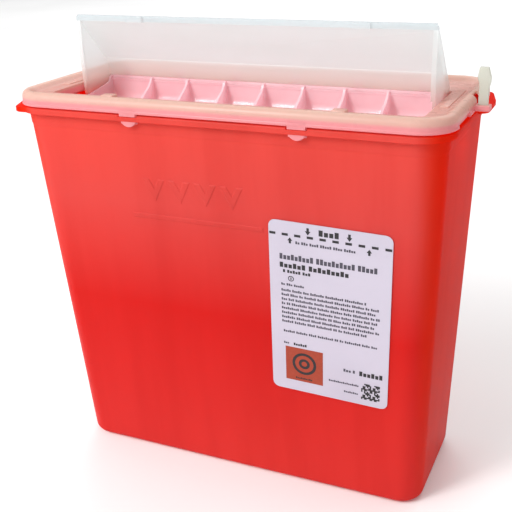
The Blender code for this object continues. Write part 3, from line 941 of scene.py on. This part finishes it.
def make_tray():
    """Natural tray: ribbed trough with its bays scooped out, end walls, clips and the curved shield."""
    bm = bmesh.new()
    prism_along_x(bm, rib_block_outline(), -TRAY_HALF, TRAY_HALF)
    tray = new_piece("tray_moulded", bm, TRAY)

    scoops = bmesh.new()
    inside = TRAY_HALF - END_WALL
    depths = list(BAY_DEPTHS)
    for angle in SCOOP_ANGLES:
        depths.append(TRAY_BACK - SCOOP_RADIUS + SCOOP_RADIUS * math.sin(math.radians(angle)))
    for bay in range(RIB_COUNT + 1):
        left = RIB_PITCH * (bay - RIB_COUNT / 2 - 0.5) + RIB_HALF
        right = RIB_PITCH * (bay - RIB_COUNT / 2 + 0.5) - RIB_HALF
        if bay == 0:
            left = -inside
        if bay == RIB_COUNT:
            right = inside
        add_loft(scoops, [bay_ring(left, right, y) for y in depths])
    ends = bmesh.new()
    for side in (-1, 1):
        low, high = span(side, TRAY_HALF - 0.05 - END_WALL, TRAY_HALF - 0.05)
        prism_along_x(ends, END_SECTION, low, high)
    clip = rounded_outline(CLIP_SECTION, 0.3, 2)
    for index in range(CLIP_COUNT):
        x = CLIP_PITCH * (index - (CLIP_COUNT - 1) / 2)
        prism_along_x(ends, clip, x - CLIP_HALF, x + CLIP_HALF)
    shield = bmesh.new()
    outer = circle((PIVOT_Y, PIVOT_Z), SHIELD_RADIUS, SHIELD_STEPS, SHIELD_START, SHIELD_SWEEP)
    inner = circle(
        (PIVOT_Y, PIVOT_Z), SHIELD_RADIUS - SHIELD_WALL, SHIELD_STEPS,
        SHIELD_START + SHIELD_SWEEP, -SHIELD_SWEEP,
    )
    prism_along_x(shield, outer + inner, 0.1 - TRAY_HALF, TRAY_HALF - 0.1)
    combine(tray, (("DIFFERENCE", scoops), ("UNION", ends), ("UNION", shield)))
    place(tray, "tipping_flap", "natural_plastic", "tray")


make_tub()
make_lid()
moulded("flap", "tipping_flap", "natural_plastic", FLAP)
moulded("lock_tab", "lock", "white_plastic", TAB)
make_tray()
give(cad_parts["label"], LABEL)


# ---------------------------------------------------------------- print on the label

# How far the ink stands off the wall, and how far the rings' ink does, over the orange square
PRINT_LIFT = 0.70
MARK_LIFT = PRINT_LIFT + 0.04
# Gaps after a letter and after a word, and the height of a low letter, as shares of a letter
LETTER_GAP = 0.3
WORD_GAP = 0.75
LOW_LETTER = 0.74
# Places on the label, in millimetres across and up from its centre
MARGIN = 6.2
DASH_COUNT = 10
DASH_LOW = 46.2
DASH_HIGH = 47.7
CODE_CELLS = 13
CODE_SIZE = 11.0
CODE_LEFT = 19.5
CODE_LOW = -51.0
BODY_LINES = 8
BODY_TOP = 11.4
BODY_PITCH = 2.9
RING_STEPS = 28
INK_ROUGHNESS = 0.4


def ink(name, colour):
    """Printed ink with a slightly uneven density."""
    look = Look(name)
    density = look.vary(look.noise(700.0, 2.0), 0.0, 0.35)
    thin = tuple(min(1.0, channel * 1.35 + 0.008) for channel in colour)
    rough = look.vary(look.noise(260.0), INK_ROUGHNESS, INK_ROUGHNESS + 0.12)
    return look.done(look.plastic(look.mix(density, colour, thin), rough))


BLACK_INK = ink("print_black", linear(18, 16, 21))
GREY_INK = ink("print_grey", linear(60, 56, 68))
ORANGE_INK = ink("print_orange", linear(144, 46, 14))


class Print:
    """One layer of ink: flat marks in the label's own (across, up) millimetres, laid on its front face."""

    def __init__(self, name, look, lift=PRINT_LIFT):
        self.name = name
        self.look = look
        self.lift = lift
        self.bm = bmesh.new()

    def shape(self, outline):
        """One flat mark with the given (across, up) outline."""
        points = [label_point(across, up, self.lift) for across, up in outline]
        self.bm.faces.new([self.bm.verts.new(Vector(point) * MM) for point in points])

    def bar(self, left, low, right, top):
        self.shape(((left, low), (right, low), (right, top), (left, top)))

    def words(self, left, right, low, height, letter, lengths):
        """A line of plain blocks of two heights, grouped like words, that stands for a line of text."""
        across = left
        count = 0
        for length in lengths:
            for index in range(length):
                if across + letter > right:
                    return
                tall = index == 0 or (count * count + 2 * count) % 5 == 0
                self.bar(across, low, across + letter, low + height * (1.0 if tall else LOW_LETTER))
                across += letter * (1 + LETTER_GAP)
                count += 1
            across += letter * WORD_GAP

    def arrow(self, across, tip, height, width):
        """An arrow whose tip is at (across, tip); a negative height points it down."""
        neck = tip - height * 0.55
        foot = tip - height
        self.shape(((across - width / 2, neck), (across, tip), (across + width / 2, neck)))
        self.bar(across - width * 0.22, min(neck, foot), across + width * 0.22, max(neck, foot))

    def ring(self, centre, radius, width):
        """A ring of the given outer radius and width."""
        for step in range(RING_STEPS):
            first = 2 * math.pi * step / RING_STEPS
            last = 2 * math.pi * (step + 1) / RING_STEPS
            inner = radius - width
            self.shape([
                (centre[0] + r * math.cos(t), centre[1] + r * math.sin(t))
                for r, t in ((radius, first), (radius, last), (inner, last), (inner, first))
            ])

    def done(self):
        """Make the layer a piece on the container."""
        place(new_piece(self.name, self.bm, self.look), "container", "label_film")


def label_point(across, up, lift):
    """Place on the label's face: millimetres across and up from its centre, and out from the wall."""
    centre = (LABEL_LEFT + LABEL_WIDTH / 2, LABEL_TOP - LABEL_HEIGHT / 2 * math.cos(FRONT_SLOPE))
    x = centre[0] + across * math.cos(LABEL_TILT) - up * math.sin(LABEL_TILT)
    z = centre[1] + (across * math.sin(LABEL_TILT) + up * math.cos(LABEL_TILT)) * math.cos(FRONT_SLOPE)
    return (x, front_wall_y(z) - lift, z)


def word_lengths(seed, count):
    """A repeatable run of word lengths between two and nine."""
    return [2 + (seed * 7 + index * 5 + index * index * 3) % 8 for index in range(count)]


def print_dark(left):
    """Black ink: the fill line, the heavy headings, the ringed sign, the numbers and the block of cells."""
    dark = Print("label_print_black", BLACK_INK)
    pitch = (LABEL_WIDTH - 1.0) / (DASH_COUNT - 0.5)
    for index in range(DASH_COUNT):
        start = 0.5 - LABEL_WIDTH / 2 + pitch * index
        dark.bar(start, DASH_LOW, start + pitch / 2, DASH_HIGH)
    dark.words(-5.9, 7.0, 48.8, 3.6, 2.3, (4,))
    for across in (-12.1, 11.3):
        dark.arrow(across, 48.3, -4.3, 3.2)
    for across in (-22.5, 22.3):
        dark.arrow(across, 45.5, 3.6, 3.0)
    dark.words(left, 15.0, 26.5, 3.2, 2.0, (6, 9))
    dark.words(left + 1.8, -6.0, 23.4, 1.9, 1.25, (1, 5, 3))
    dark.ring((-22.3, 20.0), 1.75, 0.5)
    dark.bar(-22.6, 19.1, -22.0, 20.9)
    dark.words(18.2, 33.0, -35.4, 3.2, 1.8, (6,))
    dark.words(-21.4, -13.0, -23.5, 1.7, 1.05, (6,))
    cell = CODE_SIZE / CODE_CELLS
    for row in range(CODE_CELLS):
        for column in range(CODE_CELLS):
            if (row * row * 3 + column * 5 + row * column * 2) % 7 < 4:
                start = CODE_LEFT + cell * column
                low = CODE_LOW + cell * row
                dark.bar(start, low, start + cell, low + cell)
    dark.done()


def print_light(left):
    """Grey ink: the line under the fill line, the light heading, the body lines and the small lines."""
    light = Print("label_print_grey", GREY_INK)
    light.words(-19.3, 18.6, 42.0, 1.7, 1.02, (2, 3, 4, 5, 4, 5))
    light.words(left, 31.0, 31.6, 3.5, 1.72, (9, 10, 5))
    light.words(left + 0.6, -13.4, 15.2, 1.5, 0.95, (2, 3, 5))
    for line in range(BODY_LINES):
        short = 8.0 if line in (0, BODY_LINES - 1) else 1.4 * (line % 3)
        low = BODY_TOP - BODY_PITCH * line
        light.words(left + 0.6, 30.0 - short, low, 1.6, 0.9, word_lengths(line + 5, 14))
    light.words(left + 1.4, 29.0, -15.4, 1.5, 0.9, word_lengths(12, 12))
    light.words(left + 1.4, -24.0, -23.3, 1.4, 0.85, (3,))
    light.words(8.8, 17.4, -34.6, 2.0, 1.2, (3, 1))
    light.words(0.0, 18.4, -43.2, 1.3, 0.82, (17,))
    light.words(9.3, 18.4, -48.8, 1.3, 0.82, (8,))
    light.done()


def print_mark():
    """Orange square with two plain rings and a line of blocks on it."""
    patch = Print("label_print_orange", ORANGE_INK)
    patch.bar(-26.5, -47.9, -3.6, -25.0)
    patch.done()
    mark = Print("label_print_mark", BLACK_INK, MARK_LIFT)
    for radius in (7.4, 3.4):
        mark.ring((-15.05, -35.4), radius, 1.7)
    mark.words(-20.4, -9.4, -46.3, 1.2, 0.8, (10,))
    mark.done()


print_dark(MARGIN - LABEL_WIDTH / 2)
print_light(MARGIN - LABEL_WIDTH / 2)
print_mark()


# ---------------------------------------------------------------- studio

CAMERA_PLACE = (209.54, -462.58, 337.74)
CAMERA_TURN = (68.081, 1.613, 23.829)
CAMERA_LENS = 61.39
SENSOR_WIDTH = 36.0
SKY = 0.7
FLOOR_HALF = 4000.0
FLOOR_TOP = -0.2
FLOOR_THICK = 20.0
# Lamps: name, place and aim in metres, size in metres and power in watts
PANELS = (
    ("key", (-1.2, -1.55, 1.45), (0.0, 0.0, 0.12), (1.7, 1.7), 26.0),
    ("window", (-0.51, -0.92, 0.96), (0.0, 0.01, 0.23), (0.3, 0.5), 9.0),
    ("back", (-0.4, 2.6, 2.2), (0.0, 1.3, 0.0), (3.0, 2.0), 44.0),
)


def panel(name, place, aim, size, power):
    """Soft rectangular lamp at a place, turned to its aim."""
    lamp = bpy.data.lights.new(name, "AREA")
    lamp.shape = "RECTANGLE"
    lamp.size = size[0]
    lamp.size_y = size[1]
    lamp.energy = power
    holder = bpy.data.objects.new(name, lamp)
    holder.location = place
    holder.rotation_euler = (Vector(aim) - Vector(place)).to_track_quat("-Z", "Y").to_euler()
    bpy.context.scene.collection.objects.link(holder)


def studio():
    """Pale floor just under the tub, an even white sky, three soft lamps and the camera."""
    floor_mesh = bmesh.new()
    box(
        floor_mesh,
        (-FLOOR_HALF, -FLOOR_HALF, FLOOR_TOP - FLOOR_THICK), (FLOOR_HALF, FLOOR_HALF, FLOOR_TOP),
    )
    floor = new_piece("floor", floor_mesh)
    paint = Look("floor_paint")
    shade = paint.vary(paint.noise(3.0, 2.0), 0.86, 0.9)
    give(floor, paint.done(paint.plastic(paint.mix(shade, (0.0, 0.0, 0.0), (1.0, 1.0, 1.0)), 0.6)))

    world = bpy.data.worlds.new("studio")
    bpy.context.scene.world = world
    world.use_nodes = True
    backdrop = world.node_tree.nodes["Background"]
    backdrop.inputs["Color"].default_value = (1.0, 1.0, 1.0, 1.0)
    backdrop.inputs["Strength"].default_value = SKY
    for lamp in PANELS:
        panel(*lamp)

    lens = bpy.data.cameras.new("camera")
    lens.lens = CAMERA_LENS
    lens.sensor_width = SENSOR_WIDTH
    camera = bpy.data.objects.new("camera", lens)
    camera.location = Vector(CAMERA_PLACE) * MM
    camera.rotation_euler = Euler([math.radians(turn) for turn in CAMERA_TURN])
    bpy.context.scene.collection.objects.link(camera)
    bpy.context.scene.camera = camera
    bpy.context.scene.view_settings.view_transform = "Standard"


studio()
